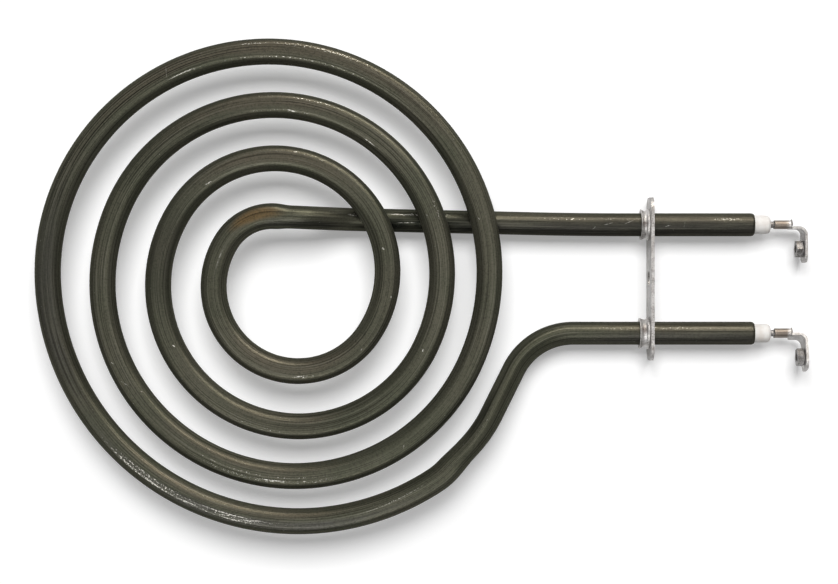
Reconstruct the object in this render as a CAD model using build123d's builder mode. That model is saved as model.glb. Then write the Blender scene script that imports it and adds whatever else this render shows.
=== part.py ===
from build123d import *
import os
from math import atan2, cos, degrees, pi, radians, sin, sqrt, tan

# Spiral ring of a tubular heating element, with its fixing plate and its two crimped terminals.
#
# Frame: the origin is the centre of the fixing hole, on the face of the plate that seats against the
# appliance. +X runs along the legs to the terminals, +Y from the outer leg to the inner leg, and +Z up
# to the side that the pan stands on. All lengths are millimetres and all angles degrees.

# ---------------------------------------------------------------- driving dimensions
# Sheath tube
tube_diameter = 8.5
tube_wall = 0.8
mouth_chamfer = 0.6

# The coil is pressed after winding, which flattens its section; the leads stay round. The flat lies
# nearer the outside of each turn, because the tube thickens on the inside of its bend.
pressed_height = 6.9
outer_shoulder_width = 1.4  # from the widest line outside the turn to the edge of the flat
inner_shoulder_width = 2.9  # the same on the inside of the turn
inner_side_height = 1.8  # upright side on the inside of the turn
section_sides = 7  # straight sides that draw the section of the coil and of the bends

# Winding of the coil from the middle outwards: radius and angle turned at each stage
coil_radii = (19.5, 30.8, 41.0, 51.2, 61.4, 70.0, 80.4, 91.1, 25.0)
coil_angles = (59.8, 179.2, 182.0, 186.3, 180.1, 181.9, 206.3, 120.2, 13.3)
coil_start_x = -138.6
coil_start_rise = 2.8  # how far the start of the coil lies beyond the inner leg's axis, along Y
coil_start_heading = 177.5

# Leads and legs
leg_spacing = 40.0
leg_length = 38.1  # from the plate's seating face to the mouth of the tube
crossing_gap = 1.8  # between the inner lead and the turns that it passes under
inner_press_run = 6.0  # length over which the inner end goes from pressed to round
inner_drop_bend = 18.0
inner_drop_run = 16.0  # plan distance between the two bends of the drop
inner_bow_x = -26.5
outer_press_run = 10.0
outer_bend_lead = 2.5  # straight tube left before the outer bend
outer_bend = 42.8
outer_lead_heading = 62.9
outer_leg_bend = 24.7
bend_straight = 0.3  # straight tube left before and after a bend
leg_blend = 3.0  # length over which a bend's sided section becomes the round leg

# Fixing plate
plate_length = 60.0
plate_height = 16.0
plate_thickness = 1.2
plate_corner = 5.0
fixing_hole_diameter = 6.0

# Turned bushings, pressed on the legs against the plate
bushing_length = 4.2
bushing_foot_diameter = 11.6
bushing_foot_width = 0.9
bushing_neck_diameter = 11.0

# Inside each leg, from the mouth inwards
bore_depth = 60.0
bead_depth = 6.0
bead_projection = 5.4
bead_chamfer = 1.1
seal_length = 3.0
pin_diameter = 2.4
wire_diameter = 0.55
wire_tail_length = 8.0  # close-wound end of the resistance wire on the pin

# Terminal tabs, crimped on the flattened ends of the pins
crimp_gap = 1.5  # from the bead to the crimp
crimp_length = 5.8
crimp_seam = 0.4
pin_crimped_height = 1.4
pin_crimped_width = 3.4
pin_tip_length = 1.0
pin_tip_rise = 1.3
pin_tip_peak = 0.6  # from the crimp to the highest point of the nipped tip
pin_tip_cut = 0.35  # how far the nippers lift the tip's lower edge
tab_thickness = 0.9
tab_width = 10.0
tab_reach = 5.7  # from the end of the crimp to the outer face of the short leg
tab_drop = 14.0  # from the leg's axis to the end of the short leg
tab_bend_radius = 2.2  # inside of the bend
tab_corner = 3.0
outer_tab_twist = -12.0  # the outer tab sits turned about its pin

# Captive nuts, M3.5, clinched into the short legs of the tabs
nut_across_flats = 6.0
nut_thickness = 2.3
nut_collar_diameter = 4.4
nut_standoff = 0.4
nut_thread_core = 2.9
nut_drop = 9.0  # from the leg's axis to the screw's axis

# ---------------------------------------------------------------- derived sizes
tube_radius = tube_diameter / 2
bore_radius = tube_radius - tube_wall
pin_radius = pin_diameter / 2
# Pressing keeps the length round the tube's outside.
pressed_width = pressed_height + pi * (tube_diameter - pressed_height) / 2
coil_height = pressed_height / 2 + crossing_gap + tube_radius
# The sided section of the bends holds the round tube's area.
bend_corner_radius = tube_radius * sqrt(2 * pi / (section_sides * sin(2 * pi / section_sides)))
# A lead leaves the coil this much lower than the coil's middle, so that it stays under the pan.
lead_step = Vector(0, 0, bend_corner_radius - pressed_height / 2)
inner_leg_y = leg_spacing / 2
outer_leg_y = -leg_spacing / 2
mouth_x = leg_length
bore_end_x = mouth_x - bore_depth
seal_start_x = mouth_x - bead_depth
fill_start_x = seal_start_x - seal_length
bead_end_x = mouth_x + bead_projection
crimp_start_x = bead_end_x + crimp_gap
crimp_end_x = crimp_start_x + crimp_length
tab_outer_x = crimp_end_x + tab_reach
tab_inner_x = tab_outer_x - tab_thickness

os.makedirs("parts", exist_ok=True)


def heading(angle):
    """Unit vector in plan at an angle from +X."""
    return Vector(cos(radians(angle)), sin(radians(angle)), 0)


def across(point, direction):
    """Plane square to a path, with its own Y axis as near +Z as the path allows."""
    return Plane(origin=point, x_dir=Vector(0, 0, 1).cross(direction), z_dir=direction)


def corner_setback(radius, before, after):
    """Distance from a corner to where an arc of this radius meets its two straight runs."""
    return radius * tan(radians(before.get_angle(after)) / 2)


def pressed_section(plane):
    """Section of the pressed coil: flat top and bottom, with sloped shoulders.

    The plane faces along the winding, so that its +x side is the inside of the turn.
    """
    side, top = pressed_width / 2, pressed_height / 2
    with BuildSketch(plane) as section:
        with BuildLine():
            Polyline(
                (-side, 0),
                (outer_shoulder_width - side, -top),
                (side - inner_shoulder_width, -top),
                (side, -inner_side_height / 2),
                (side, inner_side_height / 2),
                (side - inner_shoulder_width, top),
                (outer_shoulder_width - side, top),
                close=True,
            )
        make_face()
    return section.sketch


def bend_section(plane):
    """Section of the unpressed tube in a bend, in straight sides that hold the round tube's area."""
    with BuildSketch(plane) as section:
        RegularPolygon(bend_corner_radius, section_sides, rotation=180)
    return section.sketch


def round_section(plane):
    """Section of the straight leg, round as drawn."""
    with BuildSketch(plane) as section:
        Circle(tube_radius)
    return section.sketch


# ---------------------------------------------------------------- routes of the sheath
# The coil: tangent arcs in one level plane, each stage starting where the last one ends
coil_start = Vector(coil_start_x, inner_leg_y + coil_start_rise, coil_height)
with BuildLine() as coil_route:
    stage_end, stage_heading = coil_start, coil_start_heading
    for radius, angle in zip(coil_radii, coil_angles):
        arc = JernArc(stage_end, heading(stage_heading), radius, angle)
        stage_end, stage_heading = arc @ 1, stage_heading + angle
coil_end, coil_end_heading = stage_end, stage_heading

# The inner lead drops below the coil, passes under the turns and runs on as the inner leg.
inner_out = heading(coil_start_heading + 180)
inner_unpressed = coil_start + inner_out * inner_press_run - lead_step
inner_bow = Vector(inner_bow_x, inner_leg_y, 0)
drop_slope = Vector(inner_drop_run, 0, -inner_unpressed.Z)
drop_setback = corner_setback(inner_drop_bend, Vector(1, 0, 0), drop_slope) + bend_straight
drop_top = inner_unpressed + inner_out * drop_setback
inner_on = heading(degrees(atan2(inner_bow.Y - drop_top.Y, inner_bow.X - drop_top.X)))
drop_foot = drop_top + inner_on * inner_drop_run - Vector(0, 0, drop_top.Z)
drop_end = drop_foot + inner_on * drop_setback
inner_leg_start = drop_end + inner_on * leg_blend
with BuildLine() as inner_drop:
    FilletPolyline(inner_unpressed, drop_top, drop_foot, drop_end, radius=inner_drop_bend)
with BuildLine() as inner_leg:
    Polyline(inner_leg_start, inner_bow, (mouth_x, inner_leg_y, 0))

# The outer lead leaves the coil in an S-bend that comes down to the outer leg.
outer_out = heading(coil_end_heading)
outer_unpressed = coil_end + outer_out * outer_press_run - lead_step
outer_turn_setback = corner_setback(outer_bend, outer_out, heading(outer_lead_heading))
outer_corner = outer_unpressed + outer_out * (outer_bend_lead + outer_turn_setback)
outer_run = (outer_leg_y - outer_corner.Y) / sin(radians(outer_lead_heading))
outer_fall = Vector(0, 0, outer_corner.Z)
outer_leg_corner = outer_corner + heading(outer_lead_heading) * outer_run - outer_fall
outer_setback = corner_setback(outer_leg_bend, outer_leg_corner - outer_corner, Vector(1, 0, 0))
outer_bend_end = outer_leg_corner + Vector(outer_setback + bend_straight, 0, 0)
outer_leg_start = outer_bend_end + Vector(leg_blend, 0, 0)
with BuildLine() as outer_bends:
    FilletPolyline(
        outer_unpressed,
        outer_corner,
        outer_leg_corner,
        outer_bend_end,
        radius=[outer_bend, outer_leg_bend],
    )
with BuildLine() as outer_leg:
    Line(outer_leg_start, (mouth_x, outer_leg_y, 0))

# ---------------------------------------------------------------- sheath tube
# Each lead: end of the coil, way the coil is wound there, start and route of the bends, then the
# way the leg sets out, the end of the bends, and the start and route of the leg
leads = (
    (
        (coil_start, heading(coil_start_heading), inner_unpressed, inner_drop),
        (inner_on, drop_end, inner_leg_start, inner_leg),
    ),
    (
        (coil_end, outer_out, outer_unpressed, outer_bends),
        (Vector(1, 0, 0), outer_bend_end, outer_leg_start, outer_leg),
    ),
)
with BuildPart() as sheath_tube:
    sweep(sections=pressed_section(across(coil_start, heading(coil_start_heading))), path=coil_route.line)
    for (pressed_end, winding, unpressed, bends), (on, bends_end, leg_start, leg_route) in leads:
        coil_side = pressed_section(across(pressed_end, winding))
        loft(sections=[coil_side, bend_section(across(unpressed, winding))], ruled=True)
        sweep(sections=bend_section(across(unpressed, winding)), path=bends.line)
        leg_side = round_section(across(leg_start, on))
        loft(sections=[bend_section(across(bends_end, on)), leg_side], ruled=True)
        sweep(sections=leg_side, path=leg_route.wire(), transition=Transition.RIGHT)
    with BuildSketch(Plane.YZ.offset(mouth_x)):
        with Locations((inner_leg_y, 0), (outer_leg_y, 0)):
            Circle(bore_radius)
    extrude(amount=-bore_depth, mode=Mode.SUBTRACT)
    mouth_edges = sheath_tube.edges().filter_by(GeomType.CIRCLE).group_by(Axis.X)[-1]
    chamfer(mouth_edges.group_by(SortBy.RADIUS)[-1], length=mouth_chamfer)

sheath_tube.part.label = "sheath_tube"
export_step(sheath_tube.part, "parts/sheath_tube.step")

# ---------------------------------------------------------------- fixing plate
with BuildPart() as fixing_plate:
    with BuildSketch(Plane.YZ):
        RectangleRounded(plate_length, plate_height, plate_corner)
        Circle(fixing_hole_diameter / 2, mode=Mode.SUBTRACT)
        with Locations((inner_leg_y, 0), (outer_leg_y, 0)):
            Circle(tube_radius, mode=Mode.SUBTRACT)
    extrude(amount=-plate_thickness)

fixing_plate.part.label = "fixing_plate"
export_step(fixing_plate.part, "parts/fixing_plate.step")


# ---------------------------------------------------------------- what each leg carries
for leg, leg_y, tab_twist in (("inner", inner_leg_y, 0), ("outer", outer_leg_y, outer_tab_twist)):
    leg_axis = Axis((0, leg_y, 0), (1, 0, 0))
    # Drawing plane through the leg's axis: x along the leg, y square to it in plan
    leg_plane = Plane(origin=(0, leg_y, 0), x_dir=(1, 0, 0), z_dir=(0, 0, 1))
    tab_plane = leg_plane.rotated((tab_twist, 0, 0))
    crimp_plane = Plane(origin=(crimp_start_x, leg_y, 0), x_dir=-tab_plane.z_dir, z_dir=(1, 0, 0))
    screw_centre = tab_plane.from_local_coords(Vector(tab_outer_x, -nut_drop, 0))
    screw_plane = Plane(origin=screw_centre, x_dir=tab_plane.z_dir, z_dir=(1, 0, 0))

    # Bushing: a foot against the plate, and a neck along the leg
    with BuildPart() as bushing:
        foot_x = -plate_thickness
        lip_x = foot_x - bushing_length
        with BuildSketch(leg_plane):
            with BuildLine():
                Polyline(
                    (foot_x, tube_radius),
                    (foot_x, bushing_foot_diameter / 2),
                    (foot_x - bushing_foot_width, bushing_foot_diameter / 2),
                    (foot_x - bushing_foot_width, bushing_neck_diameter / 2),
                    (lip_x, bushing_neck_diameter / 2),
                    (lip_x, tube_radius),
                    close=True,
                )
            make_face()
        revolve(axis=leg_axis)
    bushing.part.label = f"{leg}_bushing"
    export_step(bushing.part, f"parts/{leg}_bushing.step")

    # Ceramic bead: plugs the mouth of the tube and insulates the pin
    with BuildPart() as ceramic_bead:
        with BuildSketch(leg_plane):
            with BuildLine():
                Polyline(
                    (seal_start_x, pin_radius),
                    (seal_start_x, bore_radius),
                    (bead_end_x - bead_chamfer, bore_radius),
                    (bead_end_x, bore_radius - bead_chamfer),
                    (bead_end_x, pin_radius),
                    close=True,
                )
            make_face()
        revolve(axis=leg_axis)
    ceramic_bead.part.label = f"{leg}_ceramic_bead"
    export_step(ceramic_bead.part, f"parts/{leg}_ceramic_bead.step")

    # Moisture seal behind the bead
    with BuildPart() as moisture_seal:
        with BuildSketch(Plane.YZ.offset(fill_start_x)):
            with Locations((leg_y, 0)):
                Circle(bore_radius)
                Circle(pin_radius, mode=Mode.SUBTRACT)
        extrude(amount=seal_length)
    moisture_seal.part.label = f"{leg}_moisture_seal"
    export_step(moisture_seal.part, f"parts/{leg}_moisture_seal.step")

    # Rammed magnesia that holds the pin clear of the sheath, with room for the wire's tail
    with BuildPart() as magnesia:
        with BuildSketch(Plane.YZ.offset(bore_end_x)):
            with Locations((leg_y, 0)):
                Circle(bore_radius)
                Circle(pin_radius, mode=Mode.SUBTRACT)
        extrude(amount=fill_start_x - bore_end_x)
        with BuildSketch(Plane.YZ.offset(bore_end_x)):
            with Locations((leg_y, 0)):
                Circle(pin_radius + wire_diameter)
        extrude(amount=wire_tail_length, mode=Mode.SUBTRACT)
    magnesia.part.label = f"{leg}_magnesia"
    export_step(magnesia.part, f"parts/{leg}_magnesia.step")

    # Tail of the resistance wire, wound close on the inner end of the pin
    with BuildPart() as wire_tail:
        with BuildSketch(Plane.YZ.offset(bore_end_x)):
            with Locations((leg_y, 0)):
                Circle(pin_radius + wire_diameter)
                Circle(pin_radius, mode=Mode.SUBTRACT)
        extrude(amount=wire_tail_length)
    wire_tail.part.label = f"{leg}_wire_tail"
    export_step(wire_tail.part, f"parts/{leg}_wire_tail.step")

    # Cold pin: round in the leg, pressed flat in the crimp, with a nipped tip that stands up
    with BuildPart() as cold_pin:
        with BuildSketch(Plane.YZ.offset(bore_end_x)):
            with Locations((leg_y, 0)):
                Circle(pin_radius)
        extrude(amount=crimp_start_x - bore_end_x)
        with BuildSketch(crimp_plane):
            SlotOverall(pin_crimped_width, pin_crimped_height)
        extrude(amount=crimp_length)
        with BuildSketch(tab_plane):
            with BuildLine():
                Polyline(
                    (crimp_end_x, -pin_crimped_height / 2),
                    (crimp_end_x + pin_tip_length, pin_tip_cut - pin_crimped_height / 2),
                    (crimp_end_x + pin_tip_length, pin_crimped_height / 2),
                    (crimp_end_x + pin_tip_peak, pin_crimped_height / 2 + pin_tip_rise),
                    (crimp_end_x, pin_crimped_height / 2 + pin_tip_rise / 2),
                    close=True,
                )
            make_face()
        extrude(amount=(pin_crimped_width - pin_crimped_height) / 2, both=True)
    cold_pin.part.label = f"{leg}_cold_pin"
    export_step(cold_pin.part, f"parts/{leg}_cold_pin.step")

    # Terminal tab: an L-shaped strip whose narrow end is folded round the pin as a crimp
    with BuildPart() as terminal_tab:
        strip_y = -pin_crimped_height / 2
        with BuildSketch(tab_plane):
            with BuildLine():
                outer_face = FilletPolyline(
                    (crimp_end_x, strip_y),
                    (tab_outer_x, strip_y),
                    (tab_outer_x, -tab_drop),
                    radius=tab_bend_radius + tab_thickness,
                )
                offset(outer_face, amount=tab_thickness, side=Side.RIGHT)
            make_face()
        extrude(amount=tab_width / 2, both=True)
        tip_first = Axis(tab_plane.origin, tab_plane.y_dir)
        tip_edges = terminal_tab.edges().filter_by(Axis.X).sort_by(tip_first)[:2]
        fillet(tip_edges, radius=tab_corner)
        with BuildSketch(crimp_plane):
            SlotOverall(pin_crimped_width + 2 * tab_thickness, pin_crimped_height + 2 * tab_thickness)
            SlotOverall(pin_crimped_width, pin_crimped_height, mode=Mode.SUBTRACT)
            with Locations((0, pin_crimped_height / 2 + tab_thickness / 2)):
                Rectangle(crimp_seam, 2 * tab_thickness, mode=Mode.SUBTRACT)
        extrude(amount=crimp_length)
        with BuildSketch(screw_plane):
            Circle(nut_collar_diameter / 2)
        extrude(amount=-tab_thickness, mode=Mode.SUBTRACT)
    terminal_tab.part.label = f"{leg}_terminal_tab"
    export_step(terminal_tab.part, f"parts/{leg}_terminal_tab.step")

    # Captive nut: a collar clinched in the tab, with the hexagon on the side towards the bead
    with BuildPart() as captive_nut:
        with BuildSketch(screw_plane):
            Circle(nut_collar_diameter / 2)
        extrude(amount=-(tab_thickness + nut_standoff))
        with BuildSketch(screw_plane.offset(-(tab_thickness + nut_standoff))):
            RegularPolygon(nut_across_flats / 2, 6, major_radius=False)
        extrude(amount=-nut_thickness)
        with BuildSketch(screw_plane):
            Circle(nut_thread_core / 2)
        extrude(amount=-(tab_thickness + nut_standoff + nut_thickness), mode=Mode.SUBTRACT)
    captive_nut.part.label = f"{leg}_captive_nut"
    export_step(captive_nut.part, f"parts/{leg}_captive_nut.step")
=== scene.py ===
import math

import bpy
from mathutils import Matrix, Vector


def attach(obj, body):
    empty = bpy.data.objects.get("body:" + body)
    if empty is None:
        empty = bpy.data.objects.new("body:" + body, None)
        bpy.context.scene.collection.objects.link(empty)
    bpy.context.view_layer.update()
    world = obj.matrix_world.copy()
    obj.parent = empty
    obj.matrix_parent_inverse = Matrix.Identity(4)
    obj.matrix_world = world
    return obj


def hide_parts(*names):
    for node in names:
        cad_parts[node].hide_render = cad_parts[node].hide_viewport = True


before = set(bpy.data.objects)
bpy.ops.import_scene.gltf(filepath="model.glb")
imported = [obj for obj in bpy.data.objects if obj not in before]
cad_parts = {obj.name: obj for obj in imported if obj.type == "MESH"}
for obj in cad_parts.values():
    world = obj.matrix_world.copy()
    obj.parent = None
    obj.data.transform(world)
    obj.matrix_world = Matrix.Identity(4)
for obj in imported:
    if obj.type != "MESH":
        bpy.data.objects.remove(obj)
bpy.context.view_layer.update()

scene = bpy.context.scene
scene.view_settings.view_transform = "Standard"

# ------------------------------------------------------------------ sizes of the part, in millimetres
# Most repeat values of the CAD source, whose frame the scene shares. MOUTH_X, INNER_SHOULDER,
# INNER_BOW_RADIUS and BEAD_ROUNDING are the scene's own.
MM = 0.001
TUBE_RADIUS = 4.25
TUBE_WALL = 0.8
PRESSED_HEIGHT = 6.9
PRESSED_WIDTH = PRESSED_HEIGHT + math.pi * (2 * TUBE_RADIUS - PRESSED_HEIGHT) / 2
OUTER_SHOULDER = 1.4
INNER_SHOULDER = 2.3  # less than the CAD's, for the rounded corners
COIL_STAGES = (
    (19.5, 59.8),
    (30.8, 179.2),
    (41.0, 182.0),
    (51.2, 186.3),
    (61.4, 180.1),
    (70.0, 181.9),
    (80.4, 206.3),
    (91.1, 120.2),
    (25.0, 13.3),
)
COIL_START = Vector((-138.6, 22.8, 9.5))
COIL_START_HEADING = 177.5
BEND_CORNER_RADIUS = TUBE_RADIUS * math.sqrt(2 * math.pi / (7 * math.sin(2 * math.pi / 7)))
LEAD_STEP = Vector((0, 0, BEND_CORNER_RADIUS - PRESSED_HEIGHT / 2))
LEG_Y = 20.0
LEG_LENGTH = 38.1
MOUTH_X = LEG_LENGTH - 0.6  # the lip is rolled back from the full length
INNER_PRESS_RUN = 6.0
INNER_DROP_BEND = 18.0
INNER_DROP_RUN = 16.0
INNER_BOW = Vector((-26.5, LEG_Y, 0))
INNER_BOW_RADIUS = 1500.0
OUTER_PRESS_RUN = 10.0
OUTER_BEND_LEAD = 2.5
OUTER_BEND = 42.8
OUTER_LEAD_HEADING = 62.9
OUTER_LEG_BEND = 24.7
BEND_STRAIGHT = 0.3
PLATE_THICKNESS = 1.2
PLATE_HEIGHT = 16.0
BEAD_DEPTH = 6.0
BEAD_PROJECTION = 5.4
BEAD_ROUNDING = 1.6
PIN_RADIUS = 1.2

# Marks on the sheath, in millimetres. Each is: where it starts and ends along the sheath from the mouth of
# the inner leg, how far from the top line its middle lies (positive towards the outside of the turn), its
# half width, and how strong it is.
WORN = (  # where the oxide is rubbed into bright specks
    (0, 20, 1.9, 0.8, 0.8),
    (18, 100, 2.0, 0.9, 0.6),
    (64, 78, 2.3, 0.7, 0.6),
    (105, 138, 2.2, 1.0, 0.9),
    (145, 152, 1.7, 0.7, 0.9),
    (235, 277, -2.8, 0.8, 0.3),
    (261, 273, 2.1, 0.5, 0.8),
    (345, 402, 2.8, 0.8, 0.55),
    (372, 380, 2.9, 0.4, 0.8),
    (500, 548, -2.7, 0.8, 0.4),
    (504, 536, 2.1, 1.2, 0.5),
    (634, 650, 2.4, 1.0, 0.7),
    (655, 740, 2.9, 0.8, 0.55),
    (684, 716, 2.9, 0.5, 0.8),
    (688, 736, -2.1, 0.5, 0.6),
    (868, 960, 2.0, 1.0, 0.65),
    (908, 926, 1.8, 0.5, 0.9),
    (866, 956, 0.5, 0.4, 0.7),
    (868, 934, -2.8, 0.8, 0.45),
    (1110, 1180, 2.8, 0.9, 0.75),
    (1128, 1152, 2.8, 0.5, 0.9),
    (1164, 1178, 2.8, 0.4, 0.95),
    (1105, 1205, -2.1, 0.4, 0.75),
    (1188, 1206, -1.9, 0.3, 0.9),
    (1335, 1455, 1.2, 1.9, 0.65),
    (1345, 1405, 2.0, 0.6, 0.95),
    (1356, 1402, 0.7, 0.6, 0.9),
    (1405, 1425, 1.5, 1.2, 0.85),
    (1398, 1420, 0.5, 0.35, 1.0),
    (1345, 1455, -2.6, 0.8, 0.45),
    (1455, 1490, -0.6, 0.9, 0.5),
    (1500, 1530, -1.4, 1.2, 0.45),
    (1555, 1632, -1.9, 0.9, 0.65),
    (1576, 1592, 3.2, 0.5, 0.5),
)
SCRATCHES = (  # single bright marks, by the offset of their start and how much further out they end
    (25.8, 26.4, 1.6, 0.15, -3.2, 0.6),
    (31.0, 33.5, -0.2, 0.14, -0.7, 0.5),
    (44.0, 48.5, 1.9, 0.10, -1.9, 0.45),
    (52.0, 56.0, 0.7, 0.15, -1.0, 0.45),
    (58.5, 60.0, -0.6, 0.15, -1.6, 0.4),
    (66.5, 68.0, 2.3, 0.25, -0.8, 0.9),
    (124.0, 136.0, 2.1, 0.2, 0.2, 1.0),
    (124.0, 132.0, -0.7, 0.1, -0.3, 0.5),
    (146.0, 151.5, 1.2, 0.3, 0.5, 0.9),
    (200.0, 210.0, -0.6, 0.15, 0.1, 0.4),
    (262.0, 267.0, 2.2, 0.2, -0.6, 0.9),
    (288.0, 289.0, 1.9, 0.2, -0.4, 0.5),
    (309.0, 309.9, 2.5, 0.2, -0.2, 0.5),
    (326.2, 327.4, -0.5, 0.35, -0.5, 1.0),
    (407.5, 411.0, -1.4, 0.24, 0.4, 0.8),
    (475.4, 476.6, -0.8, 0.3, -0.5, 0.9),
    (588.6, 589.8, -0.2, 0.25, -0.2, 0.9),
    (640.0, 641.0, -1.5, 0.2, -0.3, 0.6),
    (672.5, 679.0, -2.3, 0.22, 0.1, 0.9),
    (705.5, 709.5, -2.4, 0.24, 0.7, 0.9),
    (843.0, 844.5, 2.4, 0.16, -1.0, 0.6),
    (850.5, 853.5, 2.2, 0.14, -1.6, 0.55),
    (857.5, 858.5, -2.0, 0.2, -0.6, 0.7),
    (911.0, 923.0, 1.7, 0.2, 0.0, 0.9),
    (965.5, 967.0, 1.9, 0.12, -1.6, 0.5),
    (1058.5, 1060.0, -1.2, 0.16, -0.8, 0.5),
    (1201.9, 1204.2, 3.9, 0.14, -5.6, 0.5),
    (1192.0, 1204.6, -1.7, 0.15, -0.2, 0.9),
    (1376.0, 1384.0, 1.9, 0.2, 0.1, 1.0),
    (1389.0, 1398.0, 1.9, 0.22, -0.4, 1.0),
    (1396.0, 1419.0, 0.55, 0.18, -0.1, 1.0),
    (1405.0, 1411.0, 1.8, 0.18, -1.3, 0.9),
    (1406.5, 1414.0, 2.0, 0.16, 0.2, 0.8),
    (1412.0, 1423.0, 1.7, 0.18, -1.4, 0.9),
    (1454.0, 1486.0, 0.0, 0.1, -1.2, 0.45),
    (1602.0, 1604.0, -1.4, 0.16, -1.6, 0.7),
)
GROOVES = (  # dark lines left by the drawing die
    (1140, 1290, 0.5, 0.24, 1.0),
    (1195, 1290, -0.3, 0.14, 0.6),
    (1180, 1262, 2.4, 0.18, 0.7),
    (1100, 1190, -0.4, 0.16, 0.5),
    (1130, 1230, 1.5, 0.14, 0.6),
    (1150, 1240, -1.1, 0.14, 0.45),
    (735, 785, 0.35, 0.18, 0.8),
    (700, 716, 1.2, 0.16, 0.8),
    (640, 700, -0.4, 0.16, 0.5),
    (705, 790, 1.3, 0.14, 0.5),
    (500, 590, 0.0, 0.2, 0.8),
    (500, 570, -1.7, 0.16, 0.6),
    (860, 960, -0.6, 0.18, 0.6),
    (870, 940, 1.25, 0.16, 0.7),
    (1000, 1100, -0.5, 0.16, 0.4),
    (340, 420, -0.3, 0.16, 0.5),
    (215, 260, 0.8, 0.18, 0.6),
    (262, 312, -0.9, 0.16, 0.6),
    (1345, 1450, -0.9, 0.2, 0.6),
    (1360, 1450, 2.6, 0.2, 0.5),
    (1300, 1350, 1.0, 0.14, 0.4),
)
# The brown is a painted warm highlight on the sides of the turns and legs that face the light, and the grey
# is painted cool shade on the sides away from it and on the coil's left. The gold is a heat tint.
PAINTED_WARM_LIGHT, PAINTED_COOL_SHADE, GOLD = (0.092, 0.080, 0.059), (0.066, 0.064, 0.058), (0.135, 0.090, 0.042)
# The dark colour is painted shade, on the legs' lower sides and on the coil's left.
# The near-black colour is painted shade under the turns and along the inner lead's lower side, and also
# colours two real dark marks.
PAINTED_SHADE, SOOT_AND_SHADE = (0.030, 0.028, 0.025), (0.008, 0.009, 0.007)
STAINS_AND_PAINTED_LIGHT = (  # broad changes of colour, some real tints and marks and most painted light and shade; the last value is the colour
    (1060, 1275, 1.6, 3.2, 0.8, PAINTED_WARM_LIGHT),
    (660, 780, 1.6, 3.0, 0.7, PAINTED_WARM_LIGHT),
    (345, 420, 1.0, 3.4, 0.8, PAINTED_WARM_LIGHT),
    (225, 300, -1.6, 3.6, 0.7, PAINTED_WARM_LIGHT),
    (495, 560, -2.4, 2.0, 0.6, PAINTED_WARM_LIGHT),
    (860, 950, -2.4, 2.0, 0.6, PAINTED_WARM_LIGHT),
    (1340, 1470, -2.4, 2.2, 0.8, PAINTED_WARM_LIGHT),
    (1330, 1500, 1.6, 2.6, 0.8, PAINTED_COOL_SHADE),
    (1250, 1350, 0.6, 5.0, 0.5, PAINTED_COOL_SHADE),
    (172, 197, 1.3, 3.2, 1.0, GOLD),
    (150, 190, -2.6, 2.4, 0.6, PAINTED_COOL_SHADE),
    # painted shade under the turns and along the inner lead's lower side; the last two rows are real dark
    # marks
    (84, 158, -2.2, 5.6, 1.0, SOOT_AND_SHADE),
    (40, 110, -3.4, 3.2, 0.7, SOOT_AND_SHADE),
    (150, 176, -3.2, 3.0, 0.6, SOOT_AND_SHADE),
    (1500, 1530, -3.4, 2.2, 0.7, SOOT_AND_SHADE),
    (1236, 1276, 2.8, 0.8, 0.6, SOOT_AND_SHADE),
    (1550, 1660, 2.2, 3.4, 0.7, PAINTED_COOL_SHADE),
    (1550, 1660, -2.2, 2.6, 0.6, PAINTED_WARM_LIGHT),
    (-40, 120, 2.0, 2.8, 0.7, PAINTED_WARM_LIGHT),
    (-40, 120, -2.4, 3.4, 0.7, PAINTED_COOL_SHADE),
    # painted shade on the lower sides of the legs and on the left of the coil
    (1545, 1680, 1.0, 7.0, 0.35, PAINTED_SHADE),
    (-60, 130, -1.5, 7.0, 0.75, PAINTED_SHADE),
    (1225, 1370, 0.0, 6.0, 0.35, PAINTED_SHADE),
    (410, 470, 0.0, 6.0, 0.3, PAINTED_SHADE),
)

AROUND = 48  # points round the sheath's section
STEP = 1.15  # distance between its sections along the route
ARC_STEPS = 24  # points on each rounded corner of the pressed section
LATHE_STEPS = 72
LIP = 1.3  # length of the rolled lip
LIP_MARGIN = 0.3
LIP_RINGS = 6
LIP_STEP = 0.08  # between the lip's inner edge and the bore
BORE_RINGS = (0.0, 3.0, 8.0)  # depths in the bore, the last one closed


# ------------------------------------------------------------------ route of the sheath
def heading(angle):
    return Vector((math.cos(math.radians(angle)), math.sin(math.radians(angle)), 0))


def arc_points(start, angle_from, radius, sweep):
    """Points of a left-hand arc in plan, without its first one."""
    side = heading(angle_from + 90)
    centre = start + side * radius
    count = max(2, round(math.radians(sweep) * radius / STEP))
    out = []
    for k in range(1, count + 1):
        turn = sweep * k / count
        out.append(centre - heading(angle_from + 90 + turn) * radius)
    return out


def filleted(corners, radii):
    """Points of a polyline whose inner corners are rounded, at about one step apart."""
    out = [corners[0]]
    for k in range(1, len(corners) - 1):
        corner = corners[k]
        before = (corner - corners[k - 1]).normalized()
        after = (corners[k + 1] - corner).normalized()
        half = before.angle(after) / 2
        setback = radii[k - 1] * math.tan(half)
        first, last = corner - before * setback, corner + after * setback
        straight(out, first)
        inward = (after - before).normalized()
        centre = corner + inward * (radii[k - 1] / math.cos(half))
        count = max(2, round(2 * half * radii[k - 1] / STEP))
        spoke_a, spoke_b = first - centre, last - centre
        full = 2 * half
        for n in range(1, count + 1):
            a = full * n / count
            out.append(centre + (spoke_a * math.sin(full - a) + spoke_b * math.sin(a)) / math.sin(full))
    straight(out, corners[-1])
    return out


def straight(points, end):
    start = points[-1]
    count = max(1, round((end - start).length / STEP))
    for k in range(1, count + 1):
        points.append(start.lerp(end, k / count))


def setback(radius, before, after):
    return radius * math.tan(before.angle(after) / 2)


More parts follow.
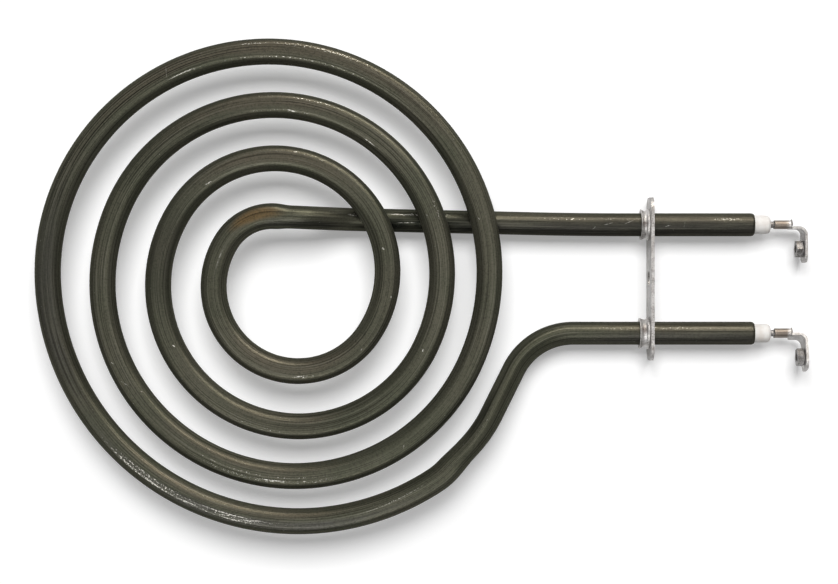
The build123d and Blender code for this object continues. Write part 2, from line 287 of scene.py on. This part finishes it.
def sheath_route():
    """The route from the inner leg's mouth to the outer leg's, and the coil's first and last points on it.

    The whole route is given at the height of the leads, and the coil stands LEAD_STEP above it.
    """
    coil = [COIL_START]
    turned = COIL_START_HEADING
    for radius, sweep in COIL_STAGES:
        coil += arc_points(coil[-1], turned, radius, sweep)
        turned += sweep
    out = heading(COIL_START_HEADING + 180)
    unpressed = COIL_START + out * INNER_PRESS_RUN - LEAD_STEP
    slope = Vector((INNER_DROP_RUN, 0, -unpressed.z))
    reach = setback(INNER_DROP_BEND, Vector((1, 0, 0)), slope) + BEND_STRAIGHT
    drop_top = unpressed + out * reach
    on = INNER_BOW - drop_top
    on.z = 0
    on.normalize()
    drop_foot = drop_top + on * INNER_DROP_RUN
    drop_foot.z = 0
    mouth = Vector((MOUTH_X, LEG_Y, 0))
    inner = filleted(
        [COIL_START - LEAD_STEP, drop_top, drop_foot, INNER_BOW, mouth],
        [INNER_DROP_BEND, INNER_DROP_BEND, INNER_BOW_RADIUS],
    )
    out = heading(turned)
    unpressed = coil[-1] + out * OUTER_PRESS_RUN - LEAD_STEP
    corner = unpressed + out * (OUTER_BEND_LEAD + setback(OUTER_BEND, out, heading(OUTER_LEAD_HEADING)))
    run = (-LEG_Y - corner.y) / math.sin(math.radians(OUTER_LEAD_HEADING))
    leg_corner = corner + heading(OUTER_LEAD_HEADING) * run
    leg_corner.z = 0
    mouth = Vector((MOUTH_X, -LEG_Y, 0))
    outer = filleted([coil[-1] - LEAD_STEP, corner, leg_corner, mouth], [OUTER_BEND, OUTER_LEG_BEND])
    coil = [p - LEAD_STEP for p in coil]
    inner.reverse()
    first = len(inner) - 1
    last = first + len(coil) - 1
    return inner[:-1] + coil + outer[1:], first, last


def smoothstep(x):
    x = min(1.0, max(0.0, x))
    return x * x * (3 - 2 * x)


# ------------------------------------------------------------------ sections of the sheath
def rounded_polygon(corners, roundings, count):
    """Points evenly spaced along a closed polygon with rounded corners, from the first corner's arc on."""
    path = []
    n = len(corners)
    for k in range(n):
        here = Vector(corners[k])
        to_last = (Vector(corners[k - 1]) - here).normalized()
        to_next = (Vector(corners[(k + 1) % n]) - here).normalized()
        half = to_last.angle(to_next) / 2
        radius = roundings[k]
        reach = radius / math.tan(half)
        centre = here + (to_last + to_next).normalized() * (radius / math.sin(half))
        a, b = here + to_last * reach - centre, here + to_next * reach - centre
        full = a.angle(b)
        for i in range(ARC_STEPS + 1):
            t = full * i / ARC_STEPS
            path.append(centre + (a * math.sin(full - t) + b * math.sin(t)) / math.sin(full))
    path.append(path[0])
    lengths = [0.0]
    for p, q in zip(path, path[1:]):
        lengths.append(lengths[-1] + (q - p).length)
    total = lengths[-1]
    # the count starts at the middle of the top, where x changes sign
    start = next(
        lengths[i] + (lengths[i + 1] - lengths[i]) * (path[i].x / (path[i].x - path[i + 1].x))
        for i in range(len(path) - 1)
        if path[i].y > 0 and path[i].x > 0 >= path[i + 1].x
    )
    out = []
    i = 0
    for k in range(count):
        want = (start + total * k / count) % total
        i = next(j for j in range(len(lengths) - 1) if lengths[j] <= want <= lengths[j + 1])
        span = lengths[i + 1] - lengths[i]
        out.append(path[i].lerp(path[i + 1], (want - lengths[i]) / span if span else 0))
    return out


# The section is seen along the winding from the middle of the coil outwards, +x inside the turn. The
# points run from the top towards the outside of the turn.
SIDE, TOP = PRESSED_WIDTH / 2, PRESSED_HEIGHT / 2
OUTER_UPRIGHT, INNER_UPRIGHT = 1.1, 0.9  # half heights of the section's upright sides
PRESSED = rounded_polygon(
    [
        (SIDE - INNER_SHOULDER, TOP),
        (OUTER_SHOULDER - SIDE, TOP),
        (-SIDE, OUTER_UPRIGHT),
        (-SIDE, -OUTER_UPRIGHT),
        (OUTER_SHOULDER - SIDE, -TOP),
        (SIDE - INNER_SHOULDER, -TOP),
        (SIDE, -INNER_UPRIGHT),
        (SIDE, INNER_UPRIGHT),
    ],
    [3.0, 2.4, 1.6, 1.6, 2.4, 3.0, 1.2, 1.2],
    AROUND,
)
PERIMETER = 2 * math.pi * TUBE_RADIUS
ROUND = [
    Vector((-math.sin(2 * math.pi * k / AROUND), math.cos(2 * math.pi * k / AROUND))) * TUBE_RADIUS
    for k in range(AROUND)
]


# ------------------------------------------------------------------ mesh helpers
def new_object(name, mesh, smooth=True):
    obj = bpy.data.objects.new(name, mesh)
    scene.collection.objects.link(obj)
    if smooth:
        mesh.shade_smooth()
    return obj


def build_sheath():
    """The sheath as one swept mesh, open at both mouths and closed inside each bore."""
    route, first, last = sheath_route()
    lengths = [0.0]
    for p, q in zip(route, route[1:]):
        lengths.append(lengths[-1] + (q - p).length)
    total = lengths[-1]
    coil_from, coil_to = lengths[first], lengths[last]
    # rings: centre, tangent, scale, distance along
    rings = []
    bore = TUBE_RADIUS - TUBE_WALL
    for k, p in enumerate(route):
        if 0 < k < len(route) - 1:
            tangent = (route[k + 1] - route[k - 1]).normalized()
        else:
            tangent = (route[1] - route[0]) if k == 0 else (route[-1] - route[-2])
            tangent.normalize()
        rings.append([p, tangent, 1.0, lengths[k]])
    margin = LIP + LIP_MARGIN
    rings = [r for r in rings if margin < r[3] < total - margin]
    # rolled lips at the two mouths, then a short way back into each bore
    start_t, end_t = Vector((-1, 0, 0)), Vector((1, 0, 0))
    start_p, end_p = route[0], route[-1]
    lip_inside = bore + LIP_STEP
    for k in range(LIP_RINGS + 1):
        a = math.pi / 2 * k / LIP_RINGS
        r = lip_inside + (TUBE_RADIUS - lip_inside) * math.cos(a)
        back = LIP * (1 - math.sin(a))
        rings.append([end_p - end_t * back, end_t, r / TUBE_RADIUS, total - back])
        rings.insert(0, [start_p + start_t * back, start_t, r / TUBE_RADIUS, back])
    for depth in BORE_RINGS:
        beyond = 0.001 + depth * 0.01
        rings.append([end_p - end_t * depth, end_t, bore / TUBE_RADIUS, total + beyond])
        rings.insert(0, [start_p + start_t * depth, start_t, bore / TUBE_RADIUS, -beyond])
    verts, faces, uvs = [], [], []
    for centre, tangent, scale, along in rings:
        left = Vector((0, 0, 1)).cross(tangent).normalized()
        up = tangent.cross(left).normalized()
        pressed = 1.0
        if along < coil_from:
            pressed = 1 - smoothstep((coil_from - along) / INNER_PRESS_RUN)
        elif along > coil_to:
            pressed = 1 - smoothstep((along - coil_to) / OUTER_PRESS_RUN)
        middle = centre + LEAD_STEP * pressed
        for k in range(AROUND):
            p = ROUND[k].lerp(PRESSED[k], pressed) * scale
            # left of the winding is the inside of the turn
            verts.append((middle + left * p.x + up * p.y) * MM)
    for i in range(len(rings) - 1):
        for k in range(AROUND):
            n = (k + 1) % AROUND
            a, b = i * AROUND + k, i * AROUND + n
            c, d = (i + 1) * AROUND + n, (i + 1) * AROUND + k
            faces.append((a, b, c, d))
            u0, u1 = rings[i][3] * MM, rings[i + 1][3] * MM
            v0, v1 = k / AROUND, (k + 1) / AROUND
            uvs += [(u0, v0), (u0, v1), (u1, v1), (u1, v0)]
    for end, order in ((0, -1), (len(rings) - 1, 1)):
        hub = len(verts)
        verts.append(rings[end][0] * MM)
        for k in range(AROUND):
            a, b = end * AROUND + k, end * AROUND + (k + 1) % AROUND
            faces.append((a, b, hub) if order < 0 else (b, a, hub))
            u = rings[end][3] * MM
            uvs += [(u, 0), (u, 0), (u, 0)]
    mesh = bpy.data.meshes.new("sheath_smooth")
    mesh.from_pydata([tuple(v) for v in verts], [], faces)
    layer = mesh.uv_layers.new(name="along_around")
    for loop, uv in zip(layer.data, uvs):
        loop.uv = uv
    mesh.validate()
    mesh.update()
    return new_object("sheath_smooth", mesh)


def lathe(name, profile, leg_y):
    """A turned piece about a leg's axis. The closed profile is (x along the leg, radius) in millimetres."""
    verts, faces = [], []
    n = len(profile)
    for k in range(LATHE_STEPS):
        a = 2 * math.pi * k / LATHE_STEPS
        for x, r in profile:
            verts.append((x * MM, (leg_y + r * math.cos(a)) * MM, r * math.sin(a) * MM))
    for k in range(LATHE_STEPS):
        m = (k + 1) % LATHE_STEPS
        for i in range(n):
            j = (i + 1) % n
            faces.append((k * n + i, k * n + j, m * n + j, m * n + i))
    mesh = bpy.data.meshes.new(name)
    mesh.from_pydata(verts, [], faces)
    mesh.update()
    return new_object(name, mesh)


# ------------------------------------------------------------------ node helpers
COLOUR_A, COLOUR_B, COLOUR_OUT = 6, 7, 2  # the colour sockets of a Mix node


class Nodes:
    """Short calls for building a material's node tree.

    Nothing is clamped, and mark() makes its inputs first: the sheath's long tree renders black otherwise.
    """

    def __init__(self, name):
        self.material = bpy.data.materials.new(name)
        self.material.use_nodes = True
        self.tree = self.material.node_tree
        self.bsdf = self.tree.nodes["Principled BSDF"]

    def add(self, kind):
        return self.tree.nodes.new(kind)

    def put(self, value, socket):
        if isinstance(value, bpy.types.NodeSocket):
            self.tree.links.new(value, socket)
        else:
            socket.default_value = value

    def math(self, operation, a, b=0.0, c=0.0):
        node = self.tree.nodes.new("ShaderNodeMath")
        node.operation = operation
        for value, socket in zip((a, b, c), node.inputs):
            self.put(value, socket)
        return node.outputs[0]

    def ramp(self, value, low, high):
        """0 below low, 1 above high."""
        node = self.tree.nodes.new("ShaderNodeMapRange")
        node.interpolation_type = "SMOOTHSTEP"
        node.clamp = False
        self.put(value, node.inputs["Value"])
        node.inputs["From Min"].default_value = low
        node.inputs["From Max"].default_value = high
        return node.outputs["Result"]

    def fall(self, value, low, high):
        """1 below low, 0 above high."""
        falling = self.ramp(value, low, high)
        falling.node.inputs["To Min"].default_value = 1.0
        falling.node.inputs["To Max"].default_value = 0.0
        return falling

    def mix(self, factor, a, b):
        """Colour a where the factor is 0, b where it is 1."""
        node = self.tree.nodes.new("ShaderNodeMix")
        node.data_type = "RGBA"
        self.put(factor, node.inputs["Factor"])
        self.put(a, node.inputs[COLOUR_A])
        self.put(b, node.inputs[COLOUR_B])
        return node.outputs[COLOUR_OUT]

    def noise(self, vector, scale, detail=3.0, rough=0.5):
        node = self.tree.nodes.new("ShaderNodeTexNoise")
        self.put(vector, node.inputs["Vector"])
        node.inputs["Scale"].default_value = scale
        node.inputs["Detail"].default_value = detail
        node.inputs["Roughness"].default_value = rough
        return node.outputs["Fac"]

    def combine(self, x, y, z=0.0):
        node = self.tree.nodes.new("ShaderNodeCombineXYZ")
        for value, socket in zip((x, y, z), node.inputs):
            self.put(value, socket)
        return node.outputs[0]

    def split(self, vector):
        node = self.tree.nodes.new("ShaderNodeSeparateXYZ")
        self.put(vector, node.inputs[0])
        return node.outputs[0], node.outputs[1], node.outputs[2]

    def place(self):
        """Object coordinates, in metres: the part's own frame, because every object sits at its origin."""
        return self.tree.nodes.new("ShaderNodeTexCoord").outputs["Object"]

    def near(self, point_mm, reach_mm, soft):
        """1 near a point of the part, falling to 0 at the reach."""
        node = self.tree.nodes.new("ShaderNodeVectorMath")
        node.operation = "DISTANCE"
        self.put(self.place(), node.inputs[0])
        node.inputs[1].default_value = [c * MM for c in point_mm]
        reach = reach_mm * MM
        return self.math("SUBTRACT", 1.0, self.ramp(node.outputs["Value"], reach * (1 - soft), reach))

    def bump(self, height, strength, distance_mm):
        node = self.tree.nodes.new("ShaderNodeBump")
        node.inputs["Strength"].default_value = strength
        node.inputs["Distance"].default_value = distance_mm * MM
        self.put(height, node.inputs["Height"])
        self.put(node.outputs[0], self.bsdf.inputs["Normal"])


def oxide_material():
    """Dark olive oxide on the drawn tube: lines along it, rubbed shoulders, heat tints and scratches, with
    painted warm light on the sides that face the light and painted shade on the sides away from it, on the
    coil's left and under the turns.
    """
    n = Nodes("oxidised_sheath")
    uv = n.add("ShaderNodeUVMap")
    uv.uv_map = "along_around"
    along, around, _ = n.split(uv.outputs[0])
    # turns round the section from the top, -0.5 to 0.5, positive towards the outside
    turn = n.math("SUBTRACT", around, n.math("GREATER_THAN", around, 0.5))

    def mark(start, end, offset, half_width, lean=0.0, core=0.0):
        """1 in the core of a mark, falling to 0 at its rim."""
        middle, half = (start + end) / 2 * MM, (end - start) / 2 * MM
        slope = lean / PERIMETER / (2 * half)
        ahead = n.math("MULTIPLY_ADD", along, 1 / half, -middle / half)
        level = n.math("MULTIPLY_ADD", along, -slope, slope * middle - (offset + lean / 2) / PERIMETER)
        aside = n.math("MULTIPLY", n.math("ADD", turn, level), PERIMETER / half_width)
        spread = n.combine(ahead, aside)
        node = n.tree.nodes.new("ShaderNodeVectorMath")
        node.operation = "LENGTH"
        n.put(spread, node.inputs[0])
        return n.fall(node.outputs["Value"], core, 1.0)

    def stretched(along_scale, around_scale, detail, seed=0.0):
        """Noise drawn out along the tube. The scales are waves per metre and per turn."""
        ahead = n.math("MULTIPLY", along, along_scale)
        aside = n.math("MULTIPLY", turn, around_scale)
        return n.noise(n.combine(ahead, aside, seed), 1.0, detail, 0.65)

    # colour: olive green with a fine grain
    slow = n.noise(n.place(), 30.0, 3.0, 0.6)
    fine = n.noise(n.place(), 1500.0, 2.0, 0.7)
    base = n.mix(n.ramp(slow, 0.35, 0.65), (0.066, 0.0675, 0.0475, 1), (0.078, 0.075, 0.055, 1))
    blotches = n.math("MULTIPLY_ADD", n.ramp(stretched(60.0, 6.0, 3.0, 4.0), 0.30, 0.62), 0.5, 0.6)
    # Most of these rows paint light and shade into the colour: warm highlight on the sides facing the light,
    # cool and dark shade on the others and under the turns.
    for start, end, offset, half_width, strength, colour in STAINS_AND_PAINTED_LIGHT:
        there = n.math("MULTIPLY", mark(start, end, offset, half_width, core=0.3), strength)
        base = n.mix(n.math("MULTIPLY", there, blotches), base, colour + (1,))
    base = n.mix(n.math("MULTIPLY", n.ramp(fine, 0.42, 0.72), 0.5), base, (0.026, 0.027, 0.020, 1))

    # drawing lines
    streaks = stretched(14.0, 62.0, 4.0)
    base = n.mix(n.math("MULTIPLY", n.fall(streaks, 0.36, 0.50), 0.65), base, (0.016, 0.016, 0.012, 1))
    base = n.mix(n.math("MULTIPLY", n.ramp(streaks, 0.52, 0.68), 0.40), base, (0.150, 0.144, 0.116, 1))
    grooves = 0.0
    for start, end, offset, half_width, strength in GROOVES:
        line = n.math("MULTIPLY", mark(start, end, offset, half_width, core=0.5), strength)
        grooves = n.math("MAXIMUM", grooves, line)
    patchy = n.ramp(stretched(90.0, 20.0, 2.0, 9.0), 0.25, 0.50)
    grooves = n.math("MULTIPLY", grooves, n.math("MULTIPLY_ADD", patchy, 0.5, 0.5))
    base = n.mix(n.math("MULTIPLY", grooves, 0.85), base, (0.010, 0.010, 0.008, 1))

    # bare metal
    flecks = stretched(1250.0, 84.0, 3.0, 2.0)
    shoulder = 0.0
    for place in (0.105, -0.078):
        off = n.math("ABSOLUTE", n.math("SUBTRACT", turn, place))
        shoulder = n.math("MAXIMUM", shoulder, n.math("SUBTRACT", 1.0, n.ramp(off, 0.012, 0.045)))
    worn = n.math("MULTIPLY", shoulder, 0.30)
    for start, end, offset, half_width, strength in WORN:
        there = n.math("MULTIPLY", mark(start, end, offset, half_width, core=0.4), strength)
        worn = n.math("MAXIMUM", worn, there)
    bare = n.ramp(n.math("SUBTRACT", flecks, n.math("MULTIPLY_ADD", worn, -0.25, 0.75)), 0.0, 0.10)
    broken = n.ramp(flecks, 0.40, 0.58)
    for start, end, offset, half_width, lean, strength in SCRATCHES:
        line = n.math("MULTIPLY", mark(start, end, offset, half_width, lean, 0.5), strength)
        bare = n.math("MAXIMUM", bare, n.math("MULTIPLY", line, broken))
    base = n.mix(bare, base, (0.66, 0.64, 0.58, 1))
    n.put(base, n.bsdf.inputs["Base Color"])
    rough = n.math("MULTIPLY_ADD", fine, 0.2, 0.26)
    n.put(rough, n.bsdf.inputs["Roughness"])
    n.bsdf.inputs["Metallic"].default_value = 0.5
    n.bsdf.inputs["Specular IOR Level"].default_value = 0.0
    n.bsdf.inputs["Specular Tint"].default_value = (0.5, 0.5, 0.5, 1)
    height = n.math("SUBTRACT", streaks, n.math("MULTIPLY", grooves, 0.8))
    height = n.math("MULTIPLY_ADD", fine, 0.45, height)
    n.bump(height, 0.7, 0.10)
    return n.material


def plated_material(name, tone=0.52, dark=0.37, burnt_to=None):
    """Dull plating with dark pits, a slight brown bloom and, on top of each bushing's waist, a painted dark
    reflection. More dark, more of it worn away.

    Up to burnt_to, a place along x in metres, it is browned."""
    n = Nodes(name)
    fine = n.noise(n.place(), 2600.0, 3.0, 0.7)
    cloud = n.noise(n.place(), 300.0, 3.0, 0.6)
    low = (tone * 0.70, tone * 0.67, tone * 0.64, 1)
    base = n.mix(n.ramp(cloud, 0.36, 0.64), (tone, tone * 0.975, tone * 0.955, 1), low)
    pits = n.fall(n.math("MULTIPLY_ADD", cloud, -0.18, fine), dark - 0.06, dark + 0.05)
    base = n.mix(n.math("MULTIPLY", pits, 0.75), base, (0.055, 0.045, 0.038, 1))
    # painted dark reflection: a brown-dark patch on top of each bushing's waist, between its two highlights
    for x, y, z in ((-3.3, LEG_Y + 0.2, 5.2), (-3.4, -LEG_Y + 1.4, 5.2)):
        painted_reflection = n.near((x, y, z), 2.2, 0.9)
        base = n.mix(n.math("MULTIPLY", painted_reflection, n.ramp(fine, 0.35, 0.55)), base, (0.07, 0.045, 0.035, 1))
    if burnt_to is not None:
        x, _, _ = n.split(n.place())
        burnt = n.fall(n.math("MULTIPLY_ADD", cloud, 0.004, x), burnt_to, burnt_to + 0.0015)
        base = n.mix(n.math("MULTIPLY", burnt, 0.85), base, (0.15, 0.115, 0.085, 1))
    n.put(base, n.bsdf.inputs["Base Color"])
    n.put(n.math("MULTIPLY_ADD", fine, 0.3, 0.30), n.bsdf.inputs["Roughness"])
    n.bsdf.inputs["Metallic"].default_value = 0.65
    n.bump(fine, 0.6, 0.06)
    return n.material


def ceramic_material():
    n = Nodes("bead_ceramic_white")
    fine = n.noise(n.place(), 1800.0, 4.0, 0.7)
    cloud = n.noise(n.place(), 260.0, 3.0, 0.6)
    base = n.mix(n.ramp(cloud, 0.35, 0.7), (0.86, 0.84, 0.81, 1), (0.76, 0.71, 0.66, 1))
    n.put(base, n.bsdf.inputs["Base Color"])
    n.bsdf.inputs["Roughness"].default_value = 0.65
    n.bump(fine, 0.35, 0.08)
    return n.material


def plain_inner_material(name, colour, scale=700.0, rough=0.7, metal=0.0):
    """For the pieces inside the legs, which nothing shows."""
    n = Nodes(name)
    grain = n.noise(n.place(), scale, 3.0, 0.6)
    dark = tuple(0.8 * c for c in colour) + (1,)
    n.put(n.mix(n.ramp(grain, 0.3, 0.7), tuple(colour) + (1,), dark), n.bsdf.inputs["Base Color"])
    n.bsdf.inputs["Roughness"].default_value = rough
    n.bsdf.inputs["Metallic"].default_value = metal
    n.bump(grain, 0.3, 0.05)
    return n.material


# ------------------------------------------------------------------ pieces
sheath = build_sheath()
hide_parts("sheath_tube")
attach(sheath, "root")
sheath.data.materials.append(oxide_material())

plated = plated_material("nickel_plate")
bushing_nickel = plated_material("bushing_nickel", 0.66, 0.34)
terminal = plated_material("terminal_nickel", 0.62, 0.33, 0.0512)
nut_steel = plated_material("nut_steel_dull", 0.30, 0.42)
ceramic = ceramic_material()

for leg, leg_y, reach in (("inner", LEG_Y, 3.2), ("outer", -LEG_Y, 3.7)):
    # bushing: square foot against the plate, hollow waist and rolled lip
    foot = -PLATE_THICKNESS
    lip_x = foot - reach
    profile = [(foot, TUBE_RADIUS), (foot, 5.75), (foot - 0.1, 5.8), (foot - 0.8, 5.8)]
    profile += [(foot - 0.92, 5.72), (foot - 1.0, 5.5), (foot - 1.15, 5.25), (foot - 1.5, 5.14)]
    for share, radius in ((0.54, 5.12), (0.68, 5.2), (0.78, 5.36), (0.88, 5.58), (0.95, 5.74), (0.984, 5.76)):
        profile.append((foot - reach * share, radius))
    profile += [(lip_x, 5.66), (lip_x, 5.0), (lip_x + 0.5, TUBE_RADIUS + 0.02), (lip_x + 0.8, TUBE_RADIUS)]
    bushing = lathe(f"{leg}_bushing_turned", profile, leg_y)
    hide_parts(f"{leg}_bushing")
    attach(bushing, "root")
    bushing.data.materials.append(bushing_nickel)

    bore = TUBE_RADIUS - TUBE_WALL
    bead_start, bead_end = LEG_LENGTH - BEAD_DEPTH, LEG_LENGTH + BEAD_PROJECTION
    profile = [(bead_start, PIN_RADIUS), (bead_start, bore)]
    for k in range(9):
        a = math.pi / 2 * k / 8
        inset_x, inset_r = BEAD_ROUNDING * (1 - math.sin(a)), BEAD_ROUNDING * (1 - math.cos(a))
        profile.append((bead_end - inset_x, bore - inset_r))
    profile.append((bead_end, PIN_RADIUS))
    bead = lathe(f"{leg}_bead_fired", profile, leg_y)
    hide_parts(f"{leg}_ceramic_bead")
    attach(bead, "root")
    bead.data.materials.append(ceramic)


def finish_node(name, material):
    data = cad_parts[name].data
    for k in range(len(data.materials)):
        data.materials[k] = material
    if not data.materials:
        data.materials.append(material)


finish_node("fixing_plate", plated)
pin_steel = plated_material("pin_steel_drawn", 0.26, 0.38)
seal = plain_inner_material("seal_resin_red", (0.5, 0.17, 0.1))
magnesia = plain_inner_material("magnesia_pressed", (0.85, 0.84, 0.8))
wire = plain_inner_material("resistance_wire_drawn", (0.45, 0.44, 0.42), 1500.0, 0.35, 1.0)
for leg in ("inner", "outer"):
    finish_node(f"{leg}_terminal_tab", terminal)
    finish_node(f"{leg}_captive_nut", nut_steel)
    finish_node(f"{leg}_cold_pin", pin_steel)
    finish_node(f"{leg}_moisture_seal", seal)
    finish_node(f"{leg}_magnesia", magnesia)
    finish_node(f"{leg}_wire_tail", wire)

# ------------------------------------------------------------------ floor, lights and camera
FLOOR_Z = -PLATE_HEIGHT / 2 * MM
FLOOR_HALF = 3.0
FLOOR_GLOW = 0.29


def build_floor():
    """A pale matt floor. It glows a little to the camera and in reflections, and lights nothing itself."""
    corners = [(FLOOR_HALF * x, FLOOR_HALF * y) for x, y in ((-1, -1), (1, -1), (1, 1), (-1, 1))]
    mesh = bpy.data.meshes.new("floor")
    mesh.from_pydata([(x, y, FLOOR_Z) for x, y in corners], [], [(0, 1, 2, 3)])
    floor = new_object("floor", mesh, smooth=False)
    n = Nodes("pale_floor")
    n.bsdf.inputs["Roughness"].default_value = 0.9
    n.bsdf.inputs["Specular IOR Level"].default_value = 0.0
    grain = n.noise(n.place(), 60.0, 2.0, 0.5)
    n.put(n.mix(grain, (0.80, 0.80, 0.80, 1), (0.81, 0.81, 0.81, 1)), n.bsdf.inputs["Base Color"])
    glow = n.add("ShaderNodeEmission")
    glow.inputs["Color"].default_value = (1, 1, 1, 1)
    rays = n.add("ShaderNodeLightPath")
    seen = n.math("MAXIMUM", rays.outputs["Is Glossy Ray"], rays.outputs["Is Transmission Ray"])
    seen = n.math("MAXIMUM", rays.outputs["Is Camera Ray"], seen)
    n.put(n.math("MULTIPLY", seen, FLOOR_GLOW), glow.inputs["Strength"])
    both = n.add("ShaderNodeAddShader")
    n.put(n.bsdf.outputs[0], both.inputs[0])
    n.put(glow.outputs[0], both.inputs[1])
    n.put(both.outputs[0], n.tree.nodes["Material Output"].inputs["Surface"])
    floor.data.materials.append(n.material)
    return floor


floor = build_floor()

AIM = Vector((-0.086, -0.0048, 0.0))
WORLD_LIGHT = 0.12
WORLD_MIRRORED = 0.25


def softbox(name, tilt, bearing, distance, size_x, size_y, radiance, colour=(1, 1, 1)):
    """An area light that faces the part, tilted from the zenith towards a bearing in plan."""
    data = bpy.data.lights.new(name, "AREA")
    data.shape = "RECTANGLE"
    data.size, data.size_y = size_x, size_y
    data.energy = radiance * math.pi * size_x * size_y
    data.color = colour
    lamp = bpy.data.objects.new(name, data)
    scene.collection.objects.link(lamp)
    way = Vector(
        (
            math.sin(math.radians(tilt)) * math.cos(math.radians(bearing)),
            math.sin(math.radians(tilt)) * math.sin(math.radians(bearing)),
            math.cos(math.radians(tilt)),
        )
    )
    lamp.location = AIM + way * distance
    lamp.rotation_mode = "QUATERNION"
    lamp.rotation_quaternion = way.to_track_quat("Z", "Y")
    return lamp


# The key casts the shadow and lights the colour. The strips and the card are only mirrored: they give the
# highlights along the shoulders and the sheen of the flats.
key = softbox("key", 26, 90, 3.0, 1.8, 1.5, 10.9)
key.visible_glossy = False
for strip in (
    softbox("upper_strip", 55, 68, 1.2, 0.9, 0.55, 10.5, (1.0, 0.95, 0.88)),
    softbox("lower_strip", 28, -105, 1.2, 0.8, 0.35, 7.5),
    softbox("sheen_card", 10, 40, 1.6, 0.7, 0.7, 2.5),
):
    strip.visible_diffuse = False



def build_world():
    """A dim world that is white to the camera and weaker than that in reflections."""
    world = bpy.data.worlds.new("studio")
    scene.world = world
    world.use_nodes = True
    tree = world.node_tree
    background = tree.nodes["Background"]
    background.inputs["Color"].default_value = (1, 1, 1, 1)
    rays = tree.nodes.new("ShaderNodeLightPath")

    def step(operation, first, second, third=None):
        node = tree.nodes.new("ShaderNodeMath")
        node.operation = operation
        for value, socket in zip((first, second, third), node.inputs):
            if isinstance(value, bpy.types.NodeSocket):
                tree.links.new(value, socket)
            elif value is not None:
                socket.default_value = value
        return node.outputs[0]

    mirrored = step("MAXIMUM", rays.outputs["Is Glossy Ray"], rays.outputs["Is Transmission Ray"])
    level = step("MULTIPLY_ADD", mirrored, WORLD_MIRRORED - WORLD_LIGHT, WORLD_LIGHT)
    level = step("MULTIPLY_ADD", rays.outputs["Is Camera Ray"], 1.0 - WORLD_LIGHT, level)
    tree.links.new(level, background.inputs["Strength"])


build_world()

SENSOR = 36.0
PHOTO_WIDTH = 838
FOCAL_PIXELS = 1953
CAMERA_PLACE = (-0.0860, -0.0048, 0.7205)
cam_data = bpy.data.cameras.new("camera")
cam_data.sensor_width = SENSOR
cam_data.lens = FOCAL_PIXELS * SENSOR / PHOTO_WIDTH
cam_data.clip_start, cam_data.clip_end = 0.01, 20.0
camera = bpy.data.objects.new("camera", cam_data)
scene.collection.objects.link(camera)
camera.location = CAMERA_PLACE
scene.camera = camera
